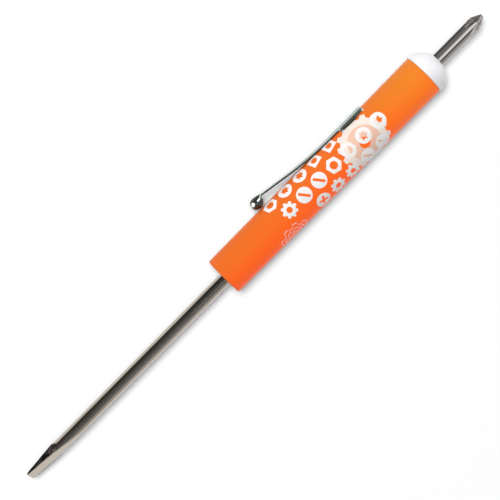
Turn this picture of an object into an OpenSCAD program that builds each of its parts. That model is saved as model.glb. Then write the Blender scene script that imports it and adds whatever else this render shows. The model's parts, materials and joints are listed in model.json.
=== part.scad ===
// Pocket screwdriver: a flat blade and a fixed cross bit in a drafted plastic barrel with a
// spring pocket clip. It lies on its side, +X toward the cross bit and +Y toward the clip.

/* [Steel rods] */
// Diameter of the round steel that the blade and the cross bit are made of
rod_d = 3.175; // [2.8:0.005:3.4]
// Width over the flattened ears that lock each rod in the plastic
ear_span = 4.4; // [3.8:0.1:4.8]
// Thickness of the flattened ears
ear_t = 1.2; // [0.8:0.1:1.8]
// Length of the flattened ears
ear_len = 4; // [2.5:0.1:4.8]

/* [Flat blade] */
// Length of the blade outside the barrel
blade_reach = 63.3; // [40:0.1:90]
// Length of the blade's tang inside the barrel
blade_tang = 17; // [12:0.5:17.5]
// Distance of the blade's axis from the barrel's axis, away from the clip
blade_off = 0.55; // [0:0.05:0.7]
// Angle about the axis from the clip to the blade's flat face
blade_turn = 139.5; // [90:0.5:180]
// Width of the ground edge
tip_w = 3; // [2.4:0.05:3.4]
// Thickness of the ground edge
tip_t = 0.35; // [0.25:0.05:0.6]
// Width of the forged flare at its widest
flare_w = 3.4; // [3.3:0.05:3.8]
// Diameter over the corners of the forged flare
flare_corner_d = 4; // [3.7:0.02:4.2]
// Length of the flare, from the edge to where its shoulder starts
flare_len = 7.7; // [5:0.1:9]
// Length of the rounded shoulder between the flare and the round shank
shoulder_len = 2.1; // [1:0.1:3.5]
// Length of the two ground faces
wedge_len = 14.2; // [12.6:0.1:20]

/* [Barrel] */
// Length of the barrel
barrel_len = 64.35; // [60:0.05:80]
// Diameter of the barrel at the blade end
barrel_d_low = 9.64; // [9.2:0.01:10.2]
// Diameter of the barrel at the cap end
barrel_d_top = 10.27; // [10.1:0.01:10.8]
// Radius of the rounded edge at the blade end
lip_r = 0.3; // [0.1:0.05:0.8]
// Length of the solid floor that grips the blade
floor_len = 18; // [18:0.5:24]
// Diameter of the moulded bore at the floor
bore_d = 6.1; // [5.8:0.1:6.4]
// Diameter of the moulded bore at the mouth's step
bore_d_top = 6.5; // [6.4:0.1:6.8]
// Diameter of the mouth that takes the cap's spigot
mouth_d = 7.6; // [7.2:0.1:8]
// Depth of the mouth
mouth_depth = 6.6; // [6.2:0.1:8]

/* [End cap] */
// Height of the dome above the barrel
cap_h = 5; // [3.6:0.1:6]
// Distance that the dome's rim stands out past the barrel
rim_over = 0.165; // [0.05:0.005:0.3]
// Height of the dome's upright rim
rim_h = 0.3; // [0.1:0.05:0.8]
// Length of the spigot inside the barrel
spigot_len = 6; // [5.5:0.1:6]
// Lead chamfer on the spigot's end
spigot_lead = 0.5; // [0.2:0.1:0.8]
// Radius of the snap bead round the spigot
bead_r = 0.22; // [0.15:0.01:0.3]
// Distance of the snap bead from the spigot's end
bead_at = 2; // [1.4:0.1:3]

/* [Cross bit] */
// Length of the cross bit outside the cap
bit_reach = 13.8; // [10:0.1:20]
// Length of the bit's tang below the top of the barrel
bit_tang = 5.4; // [5:0.1:5.5]
// Angle between the axis and the point's cone
point_angle = 28; // [24:0.5:34]
// Diameter of the blunt end of the point
point_end_d = 0.8; // [0.6:0.05:1.2]
// Angle between the two walls of a flute
flute_angle = 92; // [80:1:100]
// Distance from the axis to a flute's root at the point
web_r = 0.36; // [0.3:0.01:0.5]
// Angle between the axis and a flute's root
flute_rise = 6; // [4:0.5:8]
// Length of a flute's straight stretch
flute_len = 2.4; // [1.6:0.1:3]
// Diameter of the cutter that leaves the flute's run-out
cutter_d = 7; // [5:0.1:10]

/* [Pocket clip] */
// Thickness of the clip's sheet
clip_t = 0.37; // [0.25:0.01:0.5]
// Distance from the saddle to the end cap
saddle_drop = 15.25; // [9:0.05:20]
// Length of the saddle
saddle_len = 7.1; // [6:0.1:9]
// Width of the saddle at the arm
saddle_w_low = 5.6; // [5.5:0.05:6]
// Width that the saddle's middle lobe adds
lobe_w = 0.7; // [0.3:0.05:1]
// Width of the saddle at its far end
saddle_w_top = 5; // [4.6:0.05:5.6]
// Outer radius of the saddle's bent ends
saddle_bend_r = 0.5; // [0.4:0.05:0.7]
// Width of the prongs that hold the saddle in the barrel
prong_w = 0.75; // [0.5:0.05:0.8]
// Distance of the prongs' ends from the barrel's axis plane
prong_end = 1.9; // [1.6:0.1:2.2]
// Width of the spring arm at the saddle
arm_w = 3.6; // [3:0.1:3.8]
// Width of the spring arm a third of the way down
arm_w_mid = 2.8; // [2.6:0.1:3.6]
// Width of the spring arm at the ball
neck_w = 1.6; // [1:0.05:1.8]
// Length of the arm that lies along the barrel
arm_flat = 2.5; // [1:0.1:4]
// Radius of the arm's bend away from the barrel
arm_bend_r = 70; // [40:1:90]
// Distance from the saddle to the middle of the ball
ball_at = 24.6; // [20:0.1:30]
// Length of the formed ball
ball_len = 3.35; // [2.8:0.05:4.5]
// Height of the formed ball, with the sheet over it
ball_h = 2.8; // [2.4:0.05:3.6]

/* [Hidden] */
// Overrun of every cut past the surface that it opens
over = 0.5;
// Radial clearance of a pressed rod in its plastic seat
press_gap = 0.015;
// Radial clearance between the spigot and the mouth
spigot_gap = 0.03;
// Gap between the saddle and the barrel
seat_gap = 0.03;
// Clearance round each prong in its slot
slot_gap = 0.04;
// Gap at the line where the arm flexes
flex_gap = 0.04;
// Gap between the ball and the barrel at rest
ball_gap = 0.08;
// Chamfer at the free end of each steel rod's tang
tang_chamfer = 0.3;
// Depth of the ball's top below the outer face of the sheet that passes over it
ball_sink = 0.02;
// Share of the arm's length at which its middle width is measured
mid_share = 0.3;
// Number of flat steps that the curve across half of the arm is drawn with
section_steps = 3;
// Exponents of the ball's rounded front and of its tapered back, which are shares of no length
ball_front_share = 2.5;
ball_back_share = 1.75;
// Angle between neighbouring points of a drawn arc
arc_step = 15;

$fn = 48;

rod_r = rod_d / 2;
cap_r = barrel_d_top / 2 + rim_over;
total_len = blade_reach + barrel_len + cap_h + bit_reach;
saddle_end = barrel_len - saddle_drop;
saddle_at = saddle_end - saddle_len;
ball_z = saddle_at - ball_at;

// Radius of the drafted barrel at a height above its blade end
function barrel_r(z) = (barrel_d_low + (barrel_d_top - barrel_d_low) * z / barrel_len) / 2;
function saddle_r(z) = barrel_r(z) + seat_gap;
function arc(centre, r, from, to) =
    [for (a = [from : (to - from) / round(abs(to - from) / arc_step) : to])
        centre + r * [cos(a), sin(a)]];

// The arm's lift follows from the ball: its sheet passes over the ball, and the ball meets the
// barrel. The straight stretch is tangent to the bend, so half its angle solves a quadratic.
arm_y = saddle_r(saddle_at);
arm_run = ball_at - arm_flat;
arm_rise = barrel_r(ball_z) + ball_gap + ball_h + ball_sink - clip_t - arm_y;
half_tan = (arm_run - sqrt(pow(arm_run, 2) - (2 * arm_bend_r - arm_rise) * arm_rise))
    / (2 * arm_bend_r - arm_rise);
lift = 2 * atan(half_tan);

// A point of the arm, at a distance along it and above its inner face
bend_len = arm_bend_r * lift * PI / 180;
function arm_angle(u) = u < arm_flat ? 0 : min(lift, (u - arm_flat) / arm_bend_r * 180 / PI);
function arm_point(u, up) =
    let (a = arm_angle(u), past = max(0, u - arm_flat - bend_len), bent = arm_bend_r - up)
    u < arm_flat ? [u, arm_y + up]
        : [arm_flat + bent * sin(a) + past * cos(a),
            arm_y + arm_bend_r - bent * cos(a) + past * sin(a)];

// The ball is drawn along its own axis, which runs with the arm's straight stretch
arm_len = arm_flat + bend_len + (ball_at - arm_flat - arm_bend_r * sin(lift)) / cos(lift);
ball_centre = arm_point(arm_len, clip_t - ball_sink - ball_h / 2);
function ball_part(sign, share, steps) =
    [for (i = [0 : steps]) let (a = 90 * i / steps)
        [ball_h / 2 * pow(sin(a), 2 / share), sign * ball_len / 2 * pow(cos(a), 2 / share)]];
ball_front = ball_part(1, ball_front_share, 8);
ball_back = ball_part(-1, ball_back_share, 8);
ball_outline = concat(ball_back, [for (i = [len(ball_front) - 2 : -1 : 0]) ball_front[i]]);
ball_top = ball_centre[1] + max([for (p = ball_outline) p[0] * cos(lift) + p[1] * sin(lift)]);
clip_top = max(ball_top, arm_point(arm_len, clip_t)[1]);

axis_y = (cap_r - clip_top) / 2;
axis_z = cap_r;

// Places a piece that is drawn along +Z from the barrel's blade end, with the clip toward +Y
module on_axis() {
    translate([blade_reach - total_len / 2, axis_y, axis_z])
        rotate([0, 90, 0])
            children();
}

// Extrudes an outline drawn as [across, along] to both sides of the axis plane
module plate(outline, thickness) {
    rotate([90, 0, 0])
        linear_extrude(height = thickness, center = true)
            polygon(outline);
}

// Flattened ears on a rod, pulled against their sloped end; gap makes the seat for them
module ears(at, length, gap) {
    ramp = (ear_span - rod_d) / 2;
    side = ear_span / 2 + gap;
    translate([0, 0, at])
        plate([[-rod_r, -gap], [rod_r, -gap], [side, ramp - gap], [side, length],
            [-side, length], [-side, ramp - gap]], ear_t + 2 * gap);
}

// The saddle's outline seen from above, as half widths along the barrel
function saddle_half(v) =
    (saddle_w_low * (1 - v) + saddle_w_top * v + lobe_w * pow(sin(180 * v), 2)) / 2;

// The four prongs as [inner edge, outer edge, start along the axis]
prongs = [
    for (side = [-1, 1])
        for (end = [[saddle_w_low / 2, saddle_at], [saddle_w_top / 2, saddle_end - clip_t]])
            [side * (end[0] - prong_w), side * end[0], end[1]]
];

module handle_barrel() {
    bead_z = barrel_len - spigot_len + bead_at;
    color("darkorange")
        on_axis()
            difference() {
                rotate_extrude()
                    polygon(concat([[0, 0]], arc([barrel_r(lip_r) - lip_r, lip_r], lip_r, -90, 0),
                        [[barrel_d_top / 2, barrel_len], [0, barrel_len]]));
                translate([0, 0, floor_len])
                    cylinder(h = barrel_len - floor_len - mouth_depth + over,
                        d1 = bore_d, d2 = bore_d_top);
                translate([0, 0, barrel_len - mouth_depth])
                    cylinder(h = mouth_depth + over, d = mouth_d);
                translate([0, 0, bead_z])
                    rotate_extrude()
                        translate([mouth_d / 2 - spigot_gap, 0])
                            circle(r = bead_r + spigot_gap);
                translate([0, -blade_off, 0])
                    rotate([0, 0, blade_turn]) {
                        translate([0, 0, -over])
                            cylinder(h = floor_len + 2 * over, r = rod_r + press_gap);
                        ears(blade_tang - ear_len, floor_len - blade_tang + ear_len + over,
                            press_gap);
                    }
                for (p = prongs)
                    translate([min(p[0], p[1]) - slot_gap, prong_end - slot_gap, p[2] - slot_gap])
                        cube([prong_w + 2 * slot_gap, barrel_d_top / 2 - prong_end + over,
                            clip_t + 2 * slot_gap]);
            }
}

module flat_blade() {
    wedge_r = rod_r + over;
    wedge_top = wedge_len + wedge_len * over / (rod_r - tip_t / 2);
    tang_top = blade_reach + blade_tang;
    shoulder_top = flare_len + shoulder_len;
    color("silver")
        on_axis()
            translate([0, -blade_off, -blade_reach])
                rotate([0, 0, blade_turn]) {
                    intersection() {
                        union() {
                            cylinder(h = wedge_top, r = rod_r);
                            intersection() {
                                plate([[-tip_w / 2, 0], [tip_w / 2, 0],
                                    [flare_w / 2, shoulder_top], [-flare_w / 2, shoulder_top]],
                                    flare_corner_d);
                                rotate_extrude()
                                    polygon([[0, 0], [flare_corner_d / 2, 0],
                                        [flare_corner_d / 2, flare_len],
                                        [rod_r, shoulder_top], [0, shoulder_top]]);
                            }
                        }
                        rotate([0, 0, 90])
                            plate([[-tip_t / 2, 0], [tip_t / 2, 0], [wedge_r, wedge_top],
                                [-wedge_r, wedge_top]], flare_corner_d + over);
                    }
                    translate([0, 0, wedge_top])
                        cylinder(h = tang_top - wedge_top - tang_chamfer, r = rod_r);
                    translate([0, 0, tang_top - tang_chamfer])
                        cylinder(h = tang_chamfer, r1 = rod_r, r2 = rod_r - tang_chamfer);
                    ears(tang_top - ear_len, ear_len - tang_chamfer, 0);
                }
}

module end_cap() {
    spigot_r = mouth_d / 2 - spigot_gap;
    bead_z = bead_at - spigot_len;
    dome = [for (a = [0 : 6 : 84])
        [cap_r * cos(a), rim_h + (cap_h - rim_h) * sin(a)]];
    color("white")
        on_axis()
            translate([0, 0, barrel_len])
                difference() {
                    union() {
                        rotate_extrude()
                            polygon(concat(
                                [[0, -spigot_len], [spigot_r - spigot_lead, -spigot_len],
                                    [spigot_r, spigot_lead - spigot_len], [spigot_r, 0],
                                    [cap_r, 0]],
                                dome, [[0, cap_h]]));
                        translate([0, 0, bead_z])
                            rotate_extrude()
                                translate([spigot_r, 0])
                                    circle(r = bead_r);
                    }
                    translate([0, 0, -spigot_len - over])
                        cylinder(h = spigot_len + cap_h + 2 * over, r = rod_r + press_gap);
                    mirror([0, 0, 1])
                        ears(bit_tang - ear_len, spigot_len - bit_tang + ear_len + over,
                            press_gap);
                }
}

// One flute as its cutter leaves it: a straight slot with a round run-out
module flute() {
    deep = rod_d;
    spread = deep * tan(flute_angle / 2);
    cutter_r = cutter_d / 2;
    rotate([-flute_rise, 0, 0]) {
        translate([0, 0, -flute_len])
            linear_extrude(height = flute_len + over)
                polygon([[0, 0], [spread, deep], [-spread, deep]]);
        translate([0, cutter_r, -flute_len])
            rotate([0, 90, 0])
                rotate_extrude()
                    polygon([[0, -spread * cutter_r / deep], [cutter_r, 0],
                        [0, spread * cutter_r / deep]]);
    }
}

module cross_bit() {
    tip = cap_h + bit_reach;
    cone_len = (rod_d - point_end_d) / 2 / tan(point_angle);
    color("silver")
        on_axis()
            translate([0, 0, barrel_len]) {
                difference() {
                    rotate_extrude()
                        polygon([[0, -bit_tang], [rod_r - tang_chamfer, -bit_tang],
                            [rod_r, tang_chamfer - bit_tang], [rod_r, tip - cone_len],
                            [point_end_d / 2, tip], [0, tip]]);
                    for (turn = [45 : 90 : 315])
                        rotate([0, 0, turn])
                            translate([0, web_r, tip])
                                flute();
                }
                mirror([0, 0, 1])
                    ears(bit_tang - ear_len, ear_len - tang_chamfer, 0);
            }
}

module clip_saddle() {
    low = saddle_at;
    high = saddle_end;
    b = saddle_bend_r;
    steps = 12;
    side = [for (i = [0 : steps]) let (v = i / steps) [saddle_half(v), low + saddle_len * v]];
    outline = concat(side, [for (i = [steps : -1 : 0]) [-side[i][0], side[i][1]]]);
    inner_low = saddle_w_low / 2 - prong_w;
    inner_high = saddle_w_top / 2 - prong_w;
    color("gainsboro")
        on_axis()
            difference() {
                intersection() {
                    rotate_extrude()
                        polygon(concat([[0, low]],
                            arc([saddle_r(low) + clip_t - b, low + b], b, -90, 0),
                            arc([saddle_r(high) + clip_t - b, high - b], b, 0, 90),
                            [[0, high], [0, high - clip_t], [saddle_r(high), high - clip_t],
                                [saddle_r(low), low + clip_t], [0, low + clip_t]]));
                    translate([0, prong_end + barrel_d_top, 0])
                        plate(outline, 2 * barrel_d_top);
                }
                intersection() {
                    translate([0, 0, low - over])
                        cylinder(h = saddle_len + 2 * over, r1 = saddle_r(low - over),
                            r2 = saddle_r(high + over));
                    union() {
                        translate([-inner_low, 0, low - over])
                            cube([2 * inner_low, barrel_d_top, clip_t + 2 * over]);
                        translate([-inner_high, 0, high - clip_t - over])
                            cube([2 * inner_high, barrel_d_top, clip_t + 2 * over]);
                    }
                }
                translate([-arm_w / 2 - flex_gap, 0, low - over])
                    cube([arm_w + 2 * flex_gap, barrel_d_top,
                        over + clip_t / 2 + flex_gap]);
            }
}

// Half the width of the arm at a distance along it
function arm_half(u) =
    let (v = max(0, u / ball_at))
    (v < mid_share ? arm_w + (arm_w_mid - arm_w) * v / mid_share
        : arm_w_mid + (neck_w - arm_w_mid) * (v - mid_share) / (1 - mid_share)) / 2;

// A section of the arm, which keeps the curve of the saddle across its width: the outer face
// from side to side, then the inner face back
function arm_section(u) =
    let (top = arm_point(u, clip_t), low = arm_point(u, 0), outer_r = arm_y + clip_t,
        rise = top[1] - outer_r, inner_r = low[1] - rise,
        turn = arm_half(u) / outer_r * 180 / PI / section_steps)
    concat(
        [for (i = [-section_steps : section_steps])
            [outer_r * sin(i * turn), rise + outer_r * cos(i * turn), top[0]]],
        [for (i = [section_steps : -1 : -section_steps])
            [inner_r * sin(i * turn), rise + inner_r * cos(i * turn), low[0]]]);

module clip_arm() {
    marks = concat([-clip_t / 2, 0, arm_flat], [for (i = [1 : 6]) arm_flat + bend_len * i / 6],
        [for (i = [1 : 5]) arm_flat + bend_len + (arm_len - arm_flat - bend_len) * i / 5]);
    ring = 4 * section_steps + 2;
    last = (len(marks) - 1) * ring;
    points = [for (u = marks) each arm_section(u)];
    walls = [for (k = [0 : len(marks) - 2], i = [0 : ring - 1])
        let (a = k * ring + i, b = k * ring + (i + 1) % ring)
        each [[a, b, b + ring], [a, b + ring, a + ring]]];
    ends = [for (i = [0 : 2 * section_steps - 1])
        each [[i, ring - 1 - i, ring - 2 - i, i + 1],
            [last + i, last + i + 1, last + ring - 2 - i, last + ring - 1 - i]]];
    color("gainsboro")
        on_axis()
            translate([0, 0, saddle_at])
                mirror([0, 0, 1]) {
                    polyhedron(points, concat(walls, ends));
                    translate([0, ball_centre[1], ball_centre[0]])
                        rotate([-lift, 0, 0])
                            rotate_extrude()
                                polygon(ball_outline);
                }
}

handle_barrel();
flat_blade();
end_cap();
cross_bit();
clip_saddle();
clip_arm();
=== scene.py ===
import json
from math import copysign, cos, dist, exp, hypot, pi, radians, sin, sqrt, tan

import bmesh
import bpy
from bpy.props import FloatProperty, FloatVectorProperty, IntProperty, PointerProperty
from mathutils import Matrix, Vector, noise


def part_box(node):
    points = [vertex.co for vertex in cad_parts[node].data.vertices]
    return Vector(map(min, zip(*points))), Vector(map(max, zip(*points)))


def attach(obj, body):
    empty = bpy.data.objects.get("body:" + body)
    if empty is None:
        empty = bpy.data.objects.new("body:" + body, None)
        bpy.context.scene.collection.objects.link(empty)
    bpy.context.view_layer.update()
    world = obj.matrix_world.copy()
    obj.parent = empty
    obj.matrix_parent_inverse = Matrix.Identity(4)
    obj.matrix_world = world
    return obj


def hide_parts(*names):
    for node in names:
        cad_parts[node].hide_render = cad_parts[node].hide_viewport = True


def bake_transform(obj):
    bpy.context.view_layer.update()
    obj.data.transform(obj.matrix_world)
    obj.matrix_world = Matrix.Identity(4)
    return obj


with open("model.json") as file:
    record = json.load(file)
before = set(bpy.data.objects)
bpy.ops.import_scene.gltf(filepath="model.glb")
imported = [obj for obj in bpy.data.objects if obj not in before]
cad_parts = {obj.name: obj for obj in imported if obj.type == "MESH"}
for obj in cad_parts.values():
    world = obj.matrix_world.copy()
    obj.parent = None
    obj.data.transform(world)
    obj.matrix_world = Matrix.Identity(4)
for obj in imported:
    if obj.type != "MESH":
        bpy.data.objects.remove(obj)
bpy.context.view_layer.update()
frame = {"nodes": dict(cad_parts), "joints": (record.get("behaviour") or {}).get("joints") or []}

bl_info = {
    "name": "Pocket screwdriver",
    "version": (1, 0, 0),
    "blender": (4, 5, 0),
    "location": "View3D > Sidebar > Screwdriver",
    "description": "Dresses a pocket screwdriver: blade, barrel, print, cap, cross bit and clip",
    "category": "Object",
}

MM = 0.001

BARREL_MIN, BARREL_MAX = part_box("handle_barrel")
CAP_MIN, CAP_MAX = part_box("end_cap")
BLADE_MIN, BLADE_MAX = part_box("flat_blade")
BIT_MIN, BIT_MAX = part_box("cross_bit")
SADDLE_MIN, SADDLE_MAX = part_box("clip_saddle")
HINGE = Vector(frame["joints"][0]["pos_m"])

AXIS = (BARREL_MIN + BARREL_MAX) / 2
BLADE_AXIS = (BLADE_MIN + BLADE_MAX) / 2
BARREL_LEN = BARREL_MAX.x - BARREL_MIN.x

# Sides of the round pieces, and spans of the clip's sheet on each side of its middle
MOULDED_SIDES, ROD_SIDES, SHEET_SPANS = 192, 240, 7


def radius_near(node, x, reach):
    """Largest distance from the barrel's axis of a node's corners within reach of x"""
    near = [c.co for c in frame["nodes"][node].data.vertices if abs(c.co.x - x) < reach]
    return max(hypot(c.y - AXIS.y, c.z - AXIS.z) for c in near)


BARREL_R_LOW = radius_near("handle_barrel", BARREL_MIN.x, 0.4 * MM)
BARREL_R_TOP = radius_near("handle_barrel", BARREL_MAX.x, 0.1 * MM)
CAP_R = radius_near("end_cap", BARREL_MAX.x, 0.1 * MM)

# Light round the tool for the reflections, as (angle from straight up toward the clip, level)
OVER_BLADE = ((-92, 0.66), (-68, 0.58), (-52, 0.52), (-40, 0.25), (-14, 0.18), (4, 0.15),
              (18, 0.1), (36, 0.1), (52, 0.04), (72, 0.025), (80, 0.2), (92, 0.6))
OVER_CLIP = ((-94, 0.3), (-60, 0.2), (-40, 0.08), (0, 0.06), (90, 0.05))
BEYOND_BIT = ((-90, 0.35), (-12, 0.3), (20, 0.06), (90, 0.05))
OVER_BIT = ((-119, 0.7), (-88, 0.45), (-66, 0.5), (-47, 0.22), (-35, 0.0), (-26, 0.4),
            (-18, 1.15), (-6, 1.4), (7, 1.0), (16, 0.55), (24, 0.25), (65, 0.23), (84, 0.15),
            (107, 0.07))

# Bright windows, as (direction, cosine at the rim, cosine where it is full, level): two light
# the ball and the shoulders, one the saddle's ends and one the cap
WINDOWS = (((-0.77, 0.42, 0.48), 0.80, 0.87, 2.6), ((0.80, 0.49, 0.34), 0.87, 0.92, 1.8),
           ((0.062, -0.139, 0.988), 0.996, 0.998, 4.0), ((0.55, 0.40, 0.73), 0.94, 0.97, 3.0))


def barrel_r(x):
    """Radius of the drafted barrel at a place along the tool"""
    share = (x - BARREL_MIN.x) / BARREL_LEN
    return BARREL_R_LOW + (BARREL_R_TOP - BARREL_R_LOW) * share


def mm(name, description, default):
    """A length property, with its default in millimetres"""
    return FloatProperty(name=name, description=description, default=default * MM, unit="LENGTH",
                         precision=5)


def angle(name, description, default):
    """An angle property, with its default in degrees"""
    return FloatProperty(name=name, description=description, default=radians(default),
                         subtype="ANGLE")


def colour(name, description, default):
    """A colour property, with its default as linear red, green and blue"""
    return FloatVectorProperty(name=name, description=description, default=default,
                               subtype="COLOR", size=3, min=0.0, max=1.0)


def strength(name, description, default):
    """The level or power of a light"""
    return FloatProperty(name=name, description=description, default=default, min=0.0)


class RodSizes(bpy.types.PropertyGroup):
    rod_r: mm("Rod radius", "Radius of both rods", 1.5875)
    blade_turn: angle("Blade turn", "Angle from the clip to the blade's flat face", 139.5)
    tip_w: mm("Tip width", "Width of the ground edge", 3.0)
    tip_t: mm("Tip thickness", "Thickness of the ground edge", 0.35)
    tip_corner_r: mm("Tip corner radius", "Radius of the ground edge's corners", 0.35)
    tip_chamfer: mm("Tip chamfer", "Chamfer round the tips of both rods", 0.03)
    flare_w: mm("Flare width", "Width of the forged flare at its shoulder", 3.4)
    flare_r: mm("Flare corner radius", "Radius over the corners of the flare", 2.0)
    flare_len: mm("Flare length", "Length from the edge to the shoulder", 7.3)
    flare_skew: mm("Flare skew", "How far the far shoulder lies past the near one", 1.5)
    shoulder_len: mm("Shoulder length", "Length of the rounded shoulder", 2.1)
    shoulder_gain: mm("Shoulder gain", "Width that a flank gains over the shoulder", 0.3)
    wedge_len: mm("Wedge length", "Length of the two ground faces", 14.2)
    forge_depth: mm("Forging depth", "Depth of the forging dents by the shoulder", 0.035)
    point_r: mm("Point end radius", "Radius of the cross point's blunt end", 0.4)
    point_angle: angle("Point angle", "Angle between the axis and the point's cone", 28)
    web_r: mm("Web radius", "Distance from the axis to a flute's root at the point", 0.24)
    flute_half: angle("Flute half angle", "Half the angle between a flute's two walls", 46)
    flute_rise: angle("Flute rise", "Angle between the axis and a flute's root", 6)
    flute_len: mm("Flute length", "Length of a flute's straight stretch", 2.8)
    cutter_r: mm("Cutter radius", "Radius of a flute's run-out", 3.5)


class HandleSizes(bpy.types.PropertyGroup):
    lip_r: mm("Lip radius", "Radius of the barrel's rounded lower edge", 0.3)
    seam_r: mm("Seam radius", "Radius of the edges at the seam of barrel and cap", 0.12)
    floor_len: mm("Floor length", "Length of the solid floor that grips the blade", 18)
    bore_r: mm("Bore radius", "Radius of the bore at the floor", 3.05)
    mouth_r: mm("Mouth radius", "Radius of the mouth that takes the cap", 3.8)
    mouth_depth: mm("Mouth depth", "Depth of that mouth", 6.6)
    spigot_r: mm("Spigot radius", "Radius of the cap's spigot", 3.77)
    rim_h: mm("Rim height", "Height of the dome's upright rim", 0.3)
    gate_r: mm("Gate radius", "Radius of the moulding gate's scar on the dome", 0.45)
    gate_h: mm("Gate height", "Height of the gate's scar", 0.06)
    gate_turn: angle("Gate turn", "Angle from the clip to the gate's scar", 214)


class ClipSizes(bpy.types.PropertyGroup):
    sheet_t: mm("Sheet thickness", "Thickness of the clip's sheet", 0.37)
    seat_gap: mm("Seat gap", "Gap between the clip and the barrel", 0.03)
    edge_r: mm("Edge radius", "Radius of the sheet's tumbled edges", 0.09)
    bend_r: mm("Bend radius", "Outer radius of the saddle's bent ends", 0.5)
    saddle_w_low: mm("Saddle width", "Width of the saddle at the arm", 5.6)
    saddle_w_top: mm("Saddle end width", "Width of the saddle at its far end", 5.0)
    lobe_w: mm("Lobe width", "Width that the saddle's middle lobe adds", 0.7)
    prong_w: mm("Prong width", "Width of the prongs that hold the saddle", 0.75)
    prong_end: mm("Prong end", "Distance from the axis to a prong's end", 1.9)
    arm_w: mm("Arm width", "Width of the spring arm at the saddle", 3.6)
    arm_w_mid: mm("Middle width", "Width of the arm a third of the way down", 3.0)
    neck_w: mm("Neck width", "Width of the spring arm at the ball", 1.6)
    root_r: mm("Root fillet", "Radius of the arm's fillets at the saddle", 0.3)
    arm_flat: mm("Flat length", "Length of the arm that lies along the barrel", 3.0)
    arm_bend_r: mm("Arm bend radius", "Radius of the arm's bend off the barrel", 90)
    lift: angle("Lift", "Angle of the arm's straight stretch to the barrel", 8.3)
    ball_at: mm("Ball distance", "Distance from the saddle to the ball's middle", 24.6)
    ball_len: mm("Ball length", "Length of the formed ball", 3.35)
    ball_h: mm("Ball height", "Height of the formed ball", 2.8)
    ball_rise: mm("Ball rise", "How far the ball stands out above the arm", 0.2)


class PrintSizes(bpy.types.PropertyGroup):
    ink_t: mm("Ink thickness", "Thickness of the ink", 0.02)
    motif_r: mm("Motif radius", "Radius of one printed motif", 1.95)
    pitch_along: mm("Pitch along", "Distance between motifs along the barrel", 4.7)
    pitch_round: mm("Pitch round", "Distance between rows round the barrel", 4.35)
    start: mm("Print start", "Distance from the barrel's lower end to the motifs", 18.9)
    side: mm("Print side", "Distance round from the clip to the first row", 2.5)
    cog_r: mm("Cog radius", "Radius of the pale cog wheel", 6.4)
    line_w: mm("Line width", "Width of the thin lines", 0.16)
    columns: IntProperty(name="Columns", description="Number of motifs along the barrel", default=7)
    rows: IntProperty(name="Rows", description="Number of rows round the barrel", default=4)


class Finishes(bpy.types.PropertyGroup):
    # The light orange is a painted highlight: the barrel is blended to it toward its cap end
    orange: colour("Orange", "Barrel over its solid floor", (0.81, 0.149, 0.0150))
    orange_painted_highlight: colour("Light orange", "Barrel over its bore", (0.765, 0.205, 0.0165))
    ink: colour("Ink", "White pad printing ink", (0.89, 0.865, 0.85))
    ink_pale: colour("Pale ink", "Thin white ink over the orange", (0.88, 0.775, 0.705))
    ink_faint: colour("Faint ink", "Fine screen of white ink", (0.87, 0.55, 0.42))
    cap: colour("Cap", "Plastic of the end cap", (0.842, 0.842, 0.861))
    steel: colour("Warm steel", "Plating of the flat blade", (0.53, 0.475, 0.41))
    steel_neutral: colour("Neutral steel", "Plating of the cross bit", (0.575, 0.532, 0.512))
    clip: colour("Clip steel", "Plating of the spring clip", (0.55, 0.60, 0.57))


class StageSizes(bpy.types.PropertyGroup):
    distance: mm("Camera distance", "Distance from the camera to the tool's axis", 460)
    lens: FloatProperty(name="Lens", description="Focal length of the camera", default=146.0,
                        unit="CAMERA")
    aim_x: mm("Aim along", "Place along the tool at the middle of the picture", -1.40)
    aim_y: mm("Aim across", "Distance from the axis toward the clip there", 0.05)
    roll: angle("Roll", "Angle of the tool in the picture", 45.33)
    toward_clip: angle("Camera lean", "Lean of the camera toward the clip's side", 8.0)
    toward_bit: angle("Camera swing", "Swing of the camera toward the cross bit", 1.09)
    ambient: strength("Ambient", "Level of the even light", 0.34)
    key: strength("Key", "Power of the soft lamp on the tool", 1.42)
    shadow_key: strength("Shadow lamp", "Power of the lamp on the floor", 1329.0)
    shadow_fill: strength("Shadow fill", "Power of the softer lamp on the floor", 263.0)
    warm_fill: strength("Warm fill", "Power of the warm lamp on the barrel", 0.8)


class Wire:
    """A shader socket that can be used in sums"""

    def __init__(self, shader, socket):
        self.shader = shader
        self.socket = socket

    def __add__(self, other):
        return self.shader.math("ADD", self, other)

    def __sub__(self, other):
        return self.shader.math("SUBTRACT", self, other)

    def __mul__(self, other):
        return self.shader.math("MULTIPLY", self, other)

    def __truediv__(self, other):
        return self.shader.math("DIVIDE", self, other)

    def __rsub__(self, other):
        return self.shader.math("SUBTRACT", other, self)

    __radd__ = __add__
    __rmul__ = __mul__


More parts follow.
